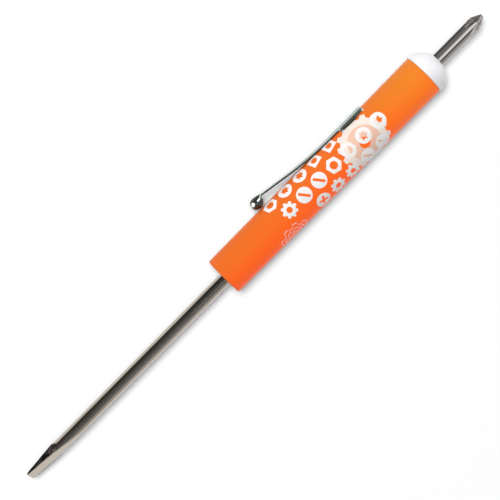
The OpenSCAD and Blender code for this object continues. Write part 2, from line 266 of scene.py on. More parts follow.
class Shader:
    """Builds the node tree of a material or of the world"""

    def __init__(self, owner):
        owner.use_nodes = True
        self.owner, self.tree = owner, owner.node_tree
        self.tree.nodes.clear()

    def node(self, kind, settings=None, inputs=None, output=0):
        """Adds a node, sets its settings, then its sockets, and gives one of its outputs"""
        node = self.tree.nodes.new("ShaderNode" + kind)
        for name, value in (settings or {}).items():
            setattr(node, name, value)
        for name, value in (inputs or {}).items():
            if isinstance(value, Wire):
                self.tree.links.new(value.socket, node.inputs[name])
            else:
                node.inputs[name].default_value = value
        return Wire(self, node.outputs[output]) if node.outputs else node

    def math(self, operation, *values):
        return self.node("Math", {"operation": operation}, dict(enumerate(values)))

    def smooth(self, value, low, high):
        """0 below low and 1 above high, with a smooth step between them"""
        return self.node("MapRange", {"interpolation_type": "SMOOTHSTEP"},
                         {"Value": value, "From Min": low, "From Max": high})

    def mix(self, factor, first, second):
        """A colour between two colours"""
        return self.node("Mix", {"data_type": "RGBA"},
                         {0: factor, 6: rgba(first), 7: rgba(second)}, 2)

    def round_ramp(self, across, up, levels):
        """Light by the angle round the tool, from levels of (degrees, level)"""
        turn = self.math("ARCTAN2", across, up) / (2 * pi) + 0.5
        tone = self.node("ValToRGB", None, {"Fac": turn})
        stops = tone.socket.node.color_ramp.elements
        while len(stops) < len(levels):
            stops.new(1.0)
        for stop, (degrees, level) in zip(stops, levels):
            stop.position, stop.color = degrees / 360 + 0.5, rgba(grey(level))
        return tone

    def combine(self, x, y, z):
        return self.node("CombineXYZ", None, {0: x, 1: y, 2: z})

    def noise(self, vector, scale, detail=2.0, roughness=0.5):
        """Noise at a scale given as waves per millimetre along X, Y and Z"""
        scaled = self.node("VectorMath", {"operation": "MULTIPLY"},
                           {0: vector, 1: [s / MM for s in scale]})
        return self.node("TexNoise", None, {"Vector": scaled, "Scale": 1.0, "Detail": detail,
                                            "Roughness": roughness})

    def bump(self, height, depth, normal=None):
        """A normal from a height of 0 to 1 and its depth in metres"""
        inputs = {"Height": height, "Distance": depth, "Strength": 1.0}
        if normal:
            inputs["Normal"] = normal
        return self.node("Bump", None, inputs)

    def surface(self, inputs):
        return self.output(self.node("BsdfPrincipled", None, inputs))

    def output(self, shader):
        """Ends the tree with this surface and gives back its material"""
        self.node("OutputMaterial", None, {"Surface": shader})
        return self.owner


def rgba(value):
    return value if isinstance(value, Wire) else (*value, 1.0)


def grey(level):
    return (level, level, level)


def shade(value, share):
    """A darker colour: that share of each channel"""
    return tuple(channel * share for channel in value)


def new_material(name):
    """The shader of a new material, and the place on the object in metres"""
    shader = Shader(bpy.data.materials.new(name))
    return shader, shader.node("TexCoord", output="Object")


def split(shader, vector):
    node = shader.node("SeparateXYZ", None, {0: vector}).socket.node
    return [Wire(shader, socket) for socket in node.outputs]


def barrel_plastic(finishes):
    """Orange plastic with faint flow marks and a soft skin, painted lighter toward the cap end as a
    painted broad highlight
    """
    shader, place = new_material("barrel_plastic")
    along = split(shader, place)[0]
    # Painted highlight: a broad lighter band from 38 mm up the barrel to near the cap
    painted_highlight_to_cap = shader.smooth(along, BARREL_MIN.x + 38 * MM, BARREL_MAX.x - 2 * MM)
    flow = shader.noise(place, (0.05, 0.35, 0.35), 3.0)
    cloud = shader.noise(place, (0.16, 0.2, 0.2))
    light = painted_highlight_to_cap + (cloud - 0.5) * 0.2 + (flow - 0.5) * 0.2
    skin = shader.noise(place, (3.0, 3.0, 3.0))
    drag = shader.noise(place, (0.25, 6.0, 6.0))
    return shader.surface({
        "Base Color": shader.mix(light, finishes.orange, finishes.orange_painted_highlight),
        "Roughness": 0.42 + (flow - 0.5) * 0.1, "Specular IOR Level": 0.22,
        "Normal": shader.bump(skin * 0.6 + drag * 0.4, 0.006 * MM)})


def white_ink(finishes):
    """Opaque pad printing ink, a little matte and uneven"""
    shader, place = new_material("white_ink")
    speck = shader.noise(place, (4.0, 4.0, 4.0))
    return shader.surface({
        "Base Color": shader.mix(speck, shade(finishes.ink, 0.96), finishes.ink),
        "Roughness": 0.5, "Normal": shader.bump(speck, 0.003 * MM)})


def tint_ink(name, tint):
    """Thin white ink in a fine screen, through which the orange shows"""
    shader, place = new_material(name)
    along, out, up = split(shader, place)
    turn = shader.math("ARCTAN2", up - AXIS.z, out - AXIS.y)
    pitch = 0.32 * MM
    rows = shader.math("SINE", along * (2 * pi / pitch))
    columns = shader.math("SINE", turn * (2 * pi * BARREL_R_LOW / pitch))
    screen = shader.smooth(rows * columns, -0.6, 0.6)
    return shader.surface({
        "Base Color": shader.mix(screen, shade(tint, 0.95), tint), "Roughness": 0.45})


def cap_plastic(finishes):
    """Bright white plastic with a soft gloss"""
    shader, place = new_material("cap_plastic")
    skin = shader.noise(place, (2.0, 2.0, 2.0))
    cloud = shader.noise(place, (0.3, 0.3, 0.3))
    return shader.surface({
        "Base Color": shader.mix(cloud, shade(finishes.cap, 0.98), finishes.cap),
        "Roughness": 0.34 + (cloud - 0.5) * 0.08, "Specular IOR Level": 0.4,
        "Normal": shader.bump(skin, 0.004 * MM)})


def drawn_steel(name, tint, roughness, worked, top, bottom):
    """Plated round steel with lines from the drawing die along the tool. Its worked share
    shows the streaks of the hammer or the cutter, whose tops and bottoms have those shares of
    the tint."""
    shader, place = new_material(name)
    share, streaks = worked(shader, *split(shader, place))
    lines = shader.noise(place, (0.06, 5.0, 5.0), 3.0, 0.6)
    waves = shader.noise(place, (0.09, 0.7, 0.7), 1.0)
    stain = shader.noise(place, (0.5, 1.5, 1.5), 3.0)
    height = shader.bump(lines * (1 - share), 0.004 * MM)
    height = shader.bump(streaks * share, 0.07 * MM, height)
    plain = shader.mix(stain, shade(tint, 0.93), tint)
    rough = shader.mix(shader.smooth(streaks, 0.42, 0.70), shade(tint, bottom), shade(tint, top))
    return shader.surface({
        "Base Color": shader.mix(share, plain, rough),
        "Metallic": 1.0,
        "Roughness": roughness + (stain - 0.5) * 0.08 + share * 0.08,
        "Normal": shader.bump(waves, 0.05 * MM, height)})


def clip_steel(finishes, sizes):
    """Bright plated spring sheet with a fine rolled grain along the arm. Its sheared edges are
    duller, and the underside of its ball, next to the barrel, is darkened with painted shade."""
    shader, place = new_material("clip_steel")
    grain = shader.noise(place, (0.3, 3.0, 8.0), 3.0)
    stain = shader.noise(place, (0.6, 0.6, 0.6))
    along, out, up = split(shader, place)
    ball_x = HINGE.x - sizes.ball_at
    back, top, fade = ball_x + 1.4 * MM, 6.1 * MM, 0.8 * MM
    # Painted shade: the ball's underside next to the barrel, up to a set height, is darkened
    painted_shade_under_ball = ((1 - shader.smooth(along, back, back + fade))
                  * (1 - shader.smooth(out - AXIS.y, top, top + fade)))
    facing = split(shader, shader.node("NewGeometry", output="Normal"))[2]
    neck = ball_x + 2 * MM
    sheared = (shader.smooth(shader.math("ABSOLUTE", facing), 0.72, 0.85)
               * shader.smooth(along, neck, neck + 1 * MM))
    plain = shader.mix(stain, shade(finishes.clip, 0.94), finishes.clip)
    plain = shader.mix(sheared, plain, shade(finishes.clip, 0.4))
    return shader.surface({
        # The ball's underside takes painted shade, about a fifth of the clip's tint
        "Base Color": shader.mix(painted_shade_under_ball, plain, shade(finishes.clip, 0.22)),
        "Metallic": 1.0, "Specular Tint": (0.68, 0.74, 0.70, 1.0),
        "Roughness": 0.13 + (stain - 0.5) * 0.06,
        "Normal": shader.bump(grain, 0.003 * MM)})


def at_turn(x, radius, turn, centre):
    """A point round the tool: turn is measured from the clip's side toward the top"""
    return Vector((x, centre.y + radius * cos(turn), centre.z + radius * sin(turn)))


def direction(lean, swing):
    """The way up from the tool, leaned toward the clip and swung toward the cross bit"""
    return Vector((sin(swing), cos(swing) * sin(lean), cos(swing) * cos(lean)))


def full_turn(count):
    return [2 * pi * i / count for i in range(count)]


def loft(mesh, rings, close_ends=True):
    """Adds faces between rings of as many points, and a face over each end, or else faces from
    the last ring to the first, as round a wall"""
    made = [[mesh.verts.new(point) for point in ring] for ring in rings]
    if not close_ends:
        made.append(made[0])
    for low, high in zip(made, made[1:]):
        for i in range(len(low)):
            j = (i + 1) % len(low)
            mesh.faces.new((low[i], low[j], high[j], high[i]))
    if close_ends:
        mesh.faces.new(made[0])
        mesh.faces.new(reversed(made[-1]))


def add_piece(name, mesh, material, sharp=35):
    """Turns the mesh into an object with smooth faces and sharp edges over an angle"""
    bmesh.ops.recalc_face_normals(mesh, faces=mesh.faces)
    data = bpy.data.meshes.new(name)
    mesh.to_mesh(data)
    mesh.free()
    for face in data.polygons:
        face.use_smooth = True
    data.set_sharp_from_angle(angle=radians(sharp))
    data.materials.append(material)
    piece = bpy.data.objects.new(name, data)
    bpy.context.scene.collection.objects.link(piece)
    return piece


def arc(centre_x, centre_r, radius, start, end, steps):
    """Points of a drawn arc as (place along the tool, radius), with its angles in degrees"""
    angles = [radians(start + (end - start) * i / steps) for i in range(steps + 1)]
    return [(centre_x + radius * sin(a), centre_r + radius * cos(a)) for a in angles]


def sections(fine, count, coarse, more):
    """Places of a rod's sections: close together over its worked end, then far apart"""
    return ([fine * i for i in range(1, count)]
            + [fine * count + coarse * i for i in range(more)])


class SCREWDRIVER_OT_barrel(bpy.types.Operator):
    """Moulded barrel, with its mouth, bore and the hole for the blade"""

    bl_idname = "screwdriver.barrel"
    bl_label = "Barrel"

    def execute(self, context):
        sizes = context.scene.screwdriver_handle
        rod_r = context.scene.screwdriver_rods.rod_r
        low, high = BARREL_MIN.x, BARREL_MAX.x
        floor_x = low + sizes.floor_len
        step_x, draft = high - sizes.mouth_depth, 0.2 * MM
        lip, seam, mouth_r = sizes.lip_r, sizes.seam_r, sizes.mouth_r
        hole = [(floor_x, rod_r), (low + seam, rod_r), (low, rod_r + seam)]
        spans = 12
        walls = arc(low + lip, BARREL_R_LOW - lip, lip, -90, 0, 8)
        walls += [(low + BARREL_LEN * i / spans, barrel_r(low + BARREL_LEN * i / spans))
                  for i in range(1, spans)]
        walls += arc(high - seam, BARREL_R_TOP - seam, seam, 0, 90, 5)
        walls += [(high, mouth_r + seam), (high - seam, mouth_r), (step_x, mouth_r),
                  (step_x, sizes.bore_r + draft), (floor_x, sizes.bore_r)]
        mesh = bmesh.new()
        loft(mesh, [[at_turn(x, radius, turn, centre) for turn in full_turn(MOULDED_SIDES)]
                    for profile, centre in ((hole, BLADE_AXIS), (walls, AXIS))
                    for x, radius in profile], close_ends=False)
        material = barrel_plastic(context.scene.screwdriver_finishes)
        piece = add_piece("barrel_shell", mesh, material)
        bpy.data.collections["warm_fill_receivers"].objects.link(piece)
        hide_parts("handle_barrel")
        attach(piece, "handle")
        return {"FINISHED"}


class SCREWDRIVER_OT_cap(bpy.types.Operator):
    """Domed end cap with its spigot and the scar of its moulding gate"""

    bl_idname = "screwdriver.cap"
    bl_label = "End cap"

    def execute(self, context):
        sizes = context.scene.screwdriver_handle
        rod_r = context.scene.screwdriver_rods.rod_r
        low, seam, lead = BARREL_MAX.x, sizes.seam_r, 0.5 * MM
        dome_x = low + sizes.rim_h
        dome_h = CAP_MAX.x - dome_x
        profile = [(CAP_MIN.x, rod_r), (CAP_MIN.x, sizes.spigot_r - lead),
                   (CAP_MIN.x + lead, sizes.spigot_r), (low, sizes.spigot_r)]
        profile += arc(low + seam, CAP_R - seam, seam, -90, 0, 5)
        steps = 40
        for i in range(1, steps):
            rise = radians(90 * i / steps)
            radius = CAP_R * cos(rise)
            if radius > rod_r + seam:
                profile.append((dome_x + dome_h * sin(rise), radius))
        lip_x = dome_x + dome_h * sqrt(1 - ((rod_r + seam) / CAP_R) ** 2)
        dish, gap, seat = 0.05 * MM, 0.02 * MM, 0.4 * MM
        profile += [(lip_x, rod_r + seam), (lip_x - dish, rod_r + gap), (lip_x - seat, rod_r)]
        gate_up, gate_out = dome_h * 0.55, CAP_R * 0.835
        gate = at_turn(dome_x + gate_up, gate_out, sizes.gate_turn, AXIS)

        def dome_point(x, radius, turn):
            """A point of the cap, raised over the gate's scar"""
            away = (at_turn(x, radius, turn, AXIS) - gate).length / sizes.gate_r
            lift = sizes.gate_h * max(0.0, 1 - away ** 6) if x > low else 0.0
            return at_turn(x + lift * 0.5, radius + lift * 0.8, turn, AXIS)

        mesh = bmesh.new()
        loft(mesh, [[dome_point(x, radius, turn) for turn in full_turn(MOULDED_SIDES)]
                    for x, radius in profile], close_ends=False)
        piece = add_piece("cap_dome", mesh, cap_plastic(context.scene.screwdriver_finishes))
        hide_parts("end_cap")
        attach(piece, "handle")
        return {"FINISHED"}


def least(*limits):
    """The least of several radii, with the edges between them a little rounded"""
    power = 20
    nearest = min(limits)
    return nearest * sum((nearest / limit) ** power for limit in limits) ** (-1 / power)


def blade_radius(sizes, z, turn):
    """Radius of the blade at a distance from its edge, at an angle from its flat face"""
    flare_len = sizes.flare_len - sizes.flare_skew * cos(turn)
    shoulder = min(1.0, max(0.0, (z - flare_len) / sizes.shoulder_len))
    eased = shoulder * shoulder * (3 - 2 * shoulder)
    limits = [sizes.flare_r + (sizes.rod_r - sizes.flare_r) * eased]
    across, through = abs(sin(turn)), abs(cos(turn))
    tip, past, edge_on = sizes.tip_t / 2, 0.5 * MM, 0.001
    if z < sizes.wedge_len + past and through > edge_on:
        limits.append((tip + (sizes.rod_r - tip) * z / sizes.wedge_len) / through)
    if z < flare_len + sizes.shoulder_len and across > edge_on:
        whole = sizes.flare_len + sizes.shoulder_len
        half = (sizes.tip_w + (sizes.flare_w - sizes.tip_w) * z / whole) / 2
        short = max(0.0, 1 - z / sizes.tip_corner_r)
        half -= sizes.tip_corner_r * (1 - sqrt(1 - short * short))
        limits.append((half + sizes.shoulder_gain * eased) / across)
    return least(*limits) + forging_dent(sizes, z, turn)


def forging_dent(sizes, z, turn):
    """Depth of the uneven dents that forging left on the blade's flanks by the shoulder"""
    middle, reach = 6.6 * MM, 1.6 * MM
    dent = noise.noise(Vector((z / MM * 1.3, turn * 3.0, 4.0)))
    near = exp(-((z - middle) / reach) ** 2) * abs(sin(turn)) ** 8
    return sizes.forge_depth * dent * near


class SCREWDRIVER_OT_blade(bpy.types.Operator):
    """Flat blade: round shank, forged flare with its shoulders, and two ground faces"""

    bl_idname = "screwdriver.blade"
    bl_label = "Flat blade"

    def execute(self, context):
        sizes = context.scene.screwdriver_rods
        tip_x, end_x, chamfer = BLADE_MIN.x, BLADE_MAX.x, 0.3 * MM
        places = [0.0, sizes.tip_chamfer]
        places += [sizes.tip_corner_r * share for share in (0.25, 0.5, 0.75)]
        places += sections(0.3 * MM, 52, 2.5 * MM, 20) + [end_x - tip_x - chamfer, end_x - tip_x]
        trims = [sizes.tip_chamfer] + [0.0] * (len(places) - 2) + [chamfer]
        mesh = bmesh.new()
        loft(mesh, [[at_turn(tip_x + z, blade_radius(sizes, z, turn) - trim,
                             turn + sizes.blade_turn, BLADE_AXIS)
                     for turn in full_turn(ROD_SIDES)] for z, trim in zip(places, trims)])

        def forged(shader, along, out, up):
            """The two flanks of the flare, and their streaks"""
            turn = sizes.blade_turn + pi / 2
            across = (out - BLADE_AXIS.y) * cos(turn) + (up - BLADE_AXIS.z) * sin(turn)
            side = 1.3 * MM
            flank = shader.smooth(shader.math("ABSOLUTE", across), side, side + 0.12 * MM)
            shoulder_x = tip_x + sizes.flare_len + sizes.shoulder_len
            share = flank * (1 - shader.smooth(along, shoulder_x - 1 * MM, shoulder_x))
            skewed = shader.combine(along, up - along * 0.5, out - along * 0.2)
            return share, shader.noise(skewed, (0.3, 1.3, 1.3), 3.0, 0.55)

        tint = context.scene.screwdriver_finishes.steel
        material = drawn_steel("blade_steel", tint, 0.12, forged, 0.6, 0.1)
        piece = add_piece("ground_blade", mesh, material, sharp=28)
        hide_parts("flat_blade")
        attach(piece, "handle")
        return {"FINISHED"}


def flute_root(sizes, z):
    """Distance from the axis to a flute's root at a distance from the point"""
    past = max(0.0, z - sizes.flute_len)
    if past >= sizes.cutter_r:
        return 2 * sizes.cutter_r
    run_out = sizes.cutter_r - sqrt(sizes.cutter_r ** 2 - past ** 2)
    return sizes.web_r + z * tan(sizes.flute_rise) + run_out


def bit_radius(sizes, z, turn):
    """Radius of the cross bit at a distance from its point, at an angle from a wing"""
    limits = [min(sizes.rod_r, sizes.point_r + z * tan(sizes.point_angle))]
    from_flute = abs(turn % (pi / 2) - pi / 4)
    root = flute_root(sizes, z)
    if root < 2 * sizes.rod_r:
        spread = sin(max(0.001, sizes.flute_half - from_flute))
        limits.append(root * sin(sizes.flute_half) / spread)
    return least(*limits)


class SCREWDRIVER_OT_cross_bit(bpy.types.Operator):
    """Cross bit: round shank, point and four milled flutes with their run-outs"""

    bl_idname = "screwdriver.cross_bit"
    bl_label = "Cross bit"

    def execute(self, context):
        sizes = context.scene.screwdriver_rods
        tip_x, end_x = BIT_MAX.x, BIT_MIN.x
        places = [0.0, sizes.tip_chamfer] + sections(0.08 * MM, 65, 1.6 * MM, 9)
        places.append(tip_x - end_x)
        trims = [sizes.tip_chamfer] + [0.0] * (len(places) - 1)
        mesh = bmesh.new()
        loft(mesh, [[at_turn(tip_x - z, bit_radius(sizes, z, turn) - trim, turn, AXIS)
                     for turn in full_turn(ROD_SIDES)] for z, trim in zip(places, trims)])

        def milled(shader, along, out, up):
            """The point and its flutes, which lie inside the round of the shank"""
            inner, outer = sizes.rod_r * 0.96, sizes.rod_r * 0.985
            away = shader.math("POWER", out - AXIS.y, 2.0) + shader.math("POWER", up - AXIS.z, 2.0)
            inside = 1 - shader.smooth(away, inner ** 2, outer ** 2)
            beside = shader.math("ABSOLUTE", out - AXIS.y) + along * 0.25
            streaks = shader.noise(shader.combine(along, beside, up), (0.5, 3.2, 1.6), 3.0, 0.65)
            milled_x = tip_x - 7 * MM
            return inside * shader.smooth(along, milled_x, milled_x + 1 * MM), streaks

        tint = context.scene.screwdriver_finishes.steel_neutral
        material = drawn_steel("bit_steel", tint, 0.10, milled, 1.0, 0.42)
        piece = add_piece("milled_bit", mesh, material, sharp=28)
        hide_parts("cross_bit")
        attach(piece, "handle")
        return {"FINISHED"}


def sheet_ring(sizes, outer, inner, half, rise):
    """One section of the clip's sheet, curved about a line that lies a rise above the axis.
    Outer and inner are (x, distance from the axis)."""
    corner = sizes.edge_r
    run = [i / SHEET_SPANS - 1 for i in range(2 * SHEET_SPANS + 1)]
    edge = [radians(turn) for turn in (22.5, 45, 67.5)]
    across = [(share * (half - corner), 0.0) for share in run]
    across += [(half - corner + corner * sin(a), corner / sizes.sheet_t * (1 - cos(a)))
               for a in edge]
    across.append((half, corner / sizes.sheet_t))
    mirrored = [(-side, 1 - depth) for side, depth in across]
    ring = []
    for side, depth in across + mirrored:
        x = outer[0] + (inner[0] - outer[0]) * depth
        radius = outer[1] + (inner[1] - outer[1]) * depth - rise
        turn = side / radius
        ring.append(at_turn(x, radius, turn, AXIS + Vector((0, rise, 0))))
    return ring


def arm_section(sizes, run):
    """Outer and inner points of the arm's sheet at a distance along it from the saddle"""
    base = barrel_r(HINGE.x) + sizes.seat_gap
    flat, bend = sizes.arm_flat, sizes.arm_bend_r
    points = []
    for up in (sizes.sheet_t, 0.0):
        bent = bend - up
        if run < flat:
            points.append((HINGE.x - run, base + up))
            continue
        turn = min(sizes.lift, (run - flat) / bend)
        past = max(0.0, run - flat - bend * sizes.lift)
        along = flat + bent * sin(turn) + past * cos(turn)
        height = base + bend - bent * cos(turn) + past * sin(turn)
        points.append((HINGE.x - along, height))
    return points


def arm_half(sizes, run, length_to_ball):
    """Half width of the arm at a distance along it"""
    marks = [(0.0, sizes.arm_w), (0.35, sizes.arm_w_mid), (1.0, sizes.neck_w)]
    share = min(1.0, run / length_to_ball)
    for (start, width), (end, next_width) in zip(marks, marks[1:]):
        if share <= end:
            return (width + (next_width - width) * (share - start) / (end - start)) / 2


def bent_end(sizes, x, centre_r, away, turn):
    """Outer and inner points of the saddle's bent end: away is 1 past x and -1 before it"""
    return [(x + away * radius * sin(turn), centre_r + radius * cos(turn))
            for radius in (sizes.bend_r, sizes.bend_r - sizes.sheet_t)]


def ball_rings(sizes, ball_middle, count):
    """Sections of the formed ball, from the neck to its blunt front. The powers shape how it
    swells from the neck, how blunt it is, and how square its sections are by the neck."""
    half_len, half_h = sizes.ball_len / 2, sizes.ball_h / 2
    thin, narrow = sizes.sheet_t / 2, sizes.neck_w / 2
    steps = 26
    rings = []
    for i in range(1, steps + 1):
        along = -cos(pi * i / (steps + 0.6)) * half_len
        to_neck = max(0.0, -along / half_len)
        if to_neck:
            grown = (1 - to_neck ** 2.2) ** 0.6
            high = thin + (half_h - thin) * grown
            wide = narrow + (half_h - narrow) * (1 - to_neck ** 1.6)
            centre_down = high - sizes.ball_rise * grown
        else:
            high = wide = half_h * (1 - (along / half_len) ** 2.5) ** 0.4
            centre_down = half_h - sizes.ball_rise
        outer, inner = arm_section(sizes, ball_middle + along)
        down = Vector((inner[0] - outer[0], inner[1] - outer[1])).normalized()
        square = 2 + 6 * to_neck ** 6
        ring = []
        for k in range(count):
            turn = 2 * pi * (k - SHEET_SPANS) / count
            side, up = (copysign(abs(share) ** (2 / square), share)
                        for share in (sin(turn), cos(turn)))
            depth = centre_down - high * up
            ring.append(Vector((outer[0] + down.x * depth, AXIS.y + outer[1] + down.y * depth,
                                AXIS.z + wide * side)))
        rings.append(ring)
    return rings


def add_prong(mesh, sizes, end_x, middle, away, outer_r):
    """One prong: it leaves the saddle's corner, bends and goes down into the barrel"""
    x = end_x - away * sizes.bend_r
    centre_r = outer_r(x) - sizes.bend_r
    path = [bent_end(sizes, x, centre_r, away, radians(turn))
            for turn in range(0, 91, 15)]
    path.append([(end_x, sizes.prong_end), (end_x - away * sizes.sheet_t, sizes.prong_end)])
    half, top = sizes.prong_w / 2, centre_r + sizes.bend_r
    rings = []
    for outer, inner in path:
        ring = []
        for side, (px, pr) in ((-1, outer), (1, outer), (1, inner), (-1, inner)):
            across = middle + side * half
            drop = top - sqrt(top ** 2 - across ** 2)
            ring.append(Vector((px, AXIS.y + pr - drop, AXIS.z + across)))
        rings.append(ring)
    loft(mesh, rings)


class SCREWDRIVER_OT_clip(bpy.types.Operator):
    """Pocket clip: one stamped sheet with its saddle, prongs, spring arm and formed ball"""

    bl_idname = "screwdriver.clip"
    bl_label = "Pocket clip"

    def execute(self, context):
        sizes = context.scene.screwdriver_clip
        mesh = bmesh.new()
        bend, sheet = sizes.bend_r, sizes.sheet_t
        low, high = SADDLE_MIN.x, SADDLE_MAX.x

        def outer_r(x):
            return barrel_r(x) + sizes.seat_gap + sheet

        def saddle_half(x):
            v = (x - low) / (high - low)
            straight = sizes.saddle_w_low * (1 - v) + sizes.saddle_w_top * v
            return (straight + sizes.lobe_w * sin(pi * v) ** 2) / 2

        x = high - bend
        rings = [sheet_ring(sizes, *bent_end(sizes, x, outer_r(x) - bend, 1, radians(turn)),
                            saddle_half(high), 0.0) for turn in range(90, -1, -15)]
        steps = 22
        for i in range(1, steps + 1):
            x = high - bend - (high - bend - low) * i / steps
            rings.append(sheet_ring(sizes, (x, outer_r(x)), (x, outer_r(x) - sheet),
                                    saddle_half(x), 0.0))
        flat, arm_bend, lift = sizes.arm_flat, sizes.arm_bend_r, sizes.lift
        straight = (sizes.ball_at - flat - arm_bend * sin(lift)) / cos(lift)
        ball_middle = flat + arm_bend * lift + straight
        neck = ball_middle - sizes.ball_len / 2
        root, spans = sizes.root_r, 40
        runs = [0.02 * MM, 0.1 * MM, root]
        runs += [root + (neck - root) * i / spans for i in range(1, spans + 1)]
        for run in runs:
            outer, inner = arm_section(sizes, run)
            fillet = max(0.0, 1 - run / root) ** 2 * root
            half = arm_half(sizes, run, ball_middle) + fillet
            rings.append(sheet_ring(sizes, outer, inner, half, outer[1] - outer_r(low)))
        rings += ball_rings(sizes, ball_middle, len(rings[0]))
        loft(mesh, rings)
        for side in (-1, 1):
            for x, width, away in ((low, sizes.saddle_w_low, -1), (high, sizes.saddle_w_top, 1)):
                add_prong(mesh, sizes, x, side * (width - sizes.prong_w) / 2, away, outer_r)
        material = clip_steel(context.scene.screwdriver_finishes, sizes)
        piece = add_piece("pocket_clip", mesh, material)
        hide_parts("clip_saddle", "clip_arm")
        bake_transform(piece)
        return {"FINISHED"}


def polar(radius, turn):
    return (radius * cos(turn), radius * sin(turn))


def turned(corners, turn):
    c, s = cos(turn), sin(turn)
    return [(x * c - y * s, x * s + y * c) for x, y in corners]


def ring_outline(radius, count, start=0.0):
    return [polar(radius, start + turn) for turn in full_turn(count)]


def bar_outline(x, y, turn):
    return turned([(-x, -y), (x, -y), (x, y), (-x, y)], turn)


def cross_outline(arm, half, turn):
    quarter = [(half, half), (half, arm), (-half, arm)]
    return [corner for start in full_turn(4) for corner in turned(quarter, turn + start)]


def cog_outline(radius, teeth, depth):
    """A cog wheel's outline with sloped teeth"""
    shares = ((-0.32, 1 - depth), (-0.2, 1.0), (0.2, 1.0), (0.32, 1 - depth))
    return [polar(radius * reach, 2 * pi * (tooth + offset) / teeth)
            for tooth in range(teeth) for offset, reach in shares]


def star_outline(radius, points, depth, start):
    return [polar(radius * (1 - depth * (i % 2)), start + turn)
            for i, turn in enumerate(full_turn(2 * points))]


def motif_outlines(r):
    """Outlines of each printed motif, the first one outside and the other cut out of it"""
    head = ring_outline(r * 0.95, 48)
    hex_nut = [ring_outline(r, 6, 0.26), ring_outline(r * 0.48, 36)]
    slot_head = [head, bar_outline(r * 0.72, r * 0.16, 0.9)]
    cog = [cog_outline(r, 8, 0.22), ring_outline(r * 0.36, 32)]
    cross_head = [head, cross_outline(r * 0.62, r * 0.15, 0.35)]
    square_nut = [ring_outline(r * 1.05, 4, 0.5), ring_outline(r * 0.42, 32)]
    star_head = [head, star_outline(r * 0.6, 6, 0.38, 0.2)]
    return [hex_nut, slot_head, cog, cross_head, square_nut, star_head]


def ink_film(name, shapes, material, height):
    """Fills the outlines flat, cuts them into strips and wraps them round the barrel"""
    mesh = bmesh.new()
    for along, across, outlines in shapes:
        edges = []
        for outline in outlines:
            corners = [mesh.verts.new((along + x, across + y, 0)) for x, y in outline]
            edges += [mesh.edges.new((a, b))
                      for a, b in zip(corners, corners[1:] + corners[:1])]
        bmesh.ops.triangle_fill(mesh, use_beauty=True, edges=edges)
    strip = 0.3 * MM
    low = min(v.co.y for v in mesh.verts)
    high = max(v.co.y for v in mesh.verts)
    for i in range(1, int((high - low) / strip) + 1):
        bmesh.ops.bisect_plane(mesh, geom=mesh.verts[:] + mesh.edges[:] + mesh.faces[:],
                               plane_co=(0, low + i * strip, 0), plane_no=(0, 1, 0))
    rim = [edge for edge in mesh.edges if edge.is_boundary]
    skirt = bmesh.ops.extrude_edge_only(mesh, edges=rim)["geom"]
    for vert in skirt:
        if isinstance(vert, bmesh.types.BMVert):
            vert.co.z = -2 * height
    for vert in mesh.verts:
        x = BARREL_MIN.x + vert.co.x
        turn = vert.co.y / BARREL_R_LOW
        vert.co = at_turn(x, barrel_r(x) + height + vert.co.z, turn, AXIS)
    return add_piece(name, mesh, material)


class SCREWDRIVER_OT_print(bpy.types.Operator):
    """Generic pad print of nuts, screw heads and cogs round the barrel"""

    bl_idname = "screwdriver.print"
    bl_label = "Pad print"

    def execute(self, context):
        sizes = context.scene.screwdriver_print
        finishes = context.scene.screwdriver_finishes
        motif_r, cog_r, line = sizes.motif_r, sizes.cog_r, sizes.line_w
        motifs = motif_outlines(motif_r)
        cog_at = (sizes.start + 25 * MM, 8.2 * MM)
        fine_at = (sizes.start - 0.5 * MM, 14.2 * MM)
        fine_cogs, fine_rings = (4.6 * MM, 3.4 * MM), (2.2 * MM, 1.2 * MM)
        solid = []
        for column in range(sizes.columns):
            for row in range(sizes.rows):
                at = (sizes.start + sizes.pitch_along * (column + 0.5 * (row % 2)),
                      sizes.side + sizes.pitch_round * row)
                by_clip = row == 0 and at[0] >= HINGE.x - BARREL_MIN.x - motif_r
                if not by_clip and dist(at, fine_at) > fine_cogs[0] + motif_r * 0.9:
                    kind = (column * 5 + row * 2 + column // 2) % len(motifs)
                    solid.append((*at, motifs[kind]))
        ring = ring_outline(cog_r * 0.62, 72)
        pale = [(*cog_at, [cog_outline(cog_r, 14, 0.13), ring])]
        faint = [(*cog_at, [ring, ring_outline(cog_r * 0.2, 40)])]
        fine = [(*fine_at, [cog_outline(r, 10, 0.16), cog_outline(r - line, 10, 0.16)])
                for r in fine_cogs]
        fine += [(*fine_at, [ring_outline(r, 60), ring_outline(r - line, 60)])
                 for r in fine_rings]
        layers = (("print_solid", solid, white_ink(finishes), 1.0),
                  ("print_pale", pale, tint_ink("pale_ink", finishes.ink_pale), 0.5),
                  ("print_faint", faint, tint_ink("faint_ink", finishes.ink_faint), 0.5),
                  ("print_fine", fine, white_ink(finishes), 0.75))
        for name, shapes, material, share in layers:
            piece = ink_film(name, shapes, material, sizes.ink_t * share)
            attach(piece, "handle")
        return {"FINISHED"}


def add_camera(context, sizes):
    aim = Vector((sizes.aim_x, AXIS.y + sizes.aim_y, AXIS.z))
    back = direction(sizes.toward_clip, sizes.toward_bit)
    along = (Vector((1, 0, 0)) - back * back.x).normalized()
    across = back.cross(along)
    c, s = cos(sizes.roll), sin(sizes.roll)
    right = along * c - across * s
    up = along * s + across * c
    data = bpy.data.cameras.new("camera")
    data.lens = sizes.lens
    data.sensor_width = 36.0
    data.clip_start, data.clip_end = 0.01, 10.0
    camera = bpy.data.objects.new("camera", data)
    rotation = Matrix((right, up, back)).transposed()
    camera.matrix_world = Matrix.Translation(aim + back * sizes.distance) @ rotation.to_4x4()
    context.scene.collection.objects.link(camera)
    context.scene.camera = camera


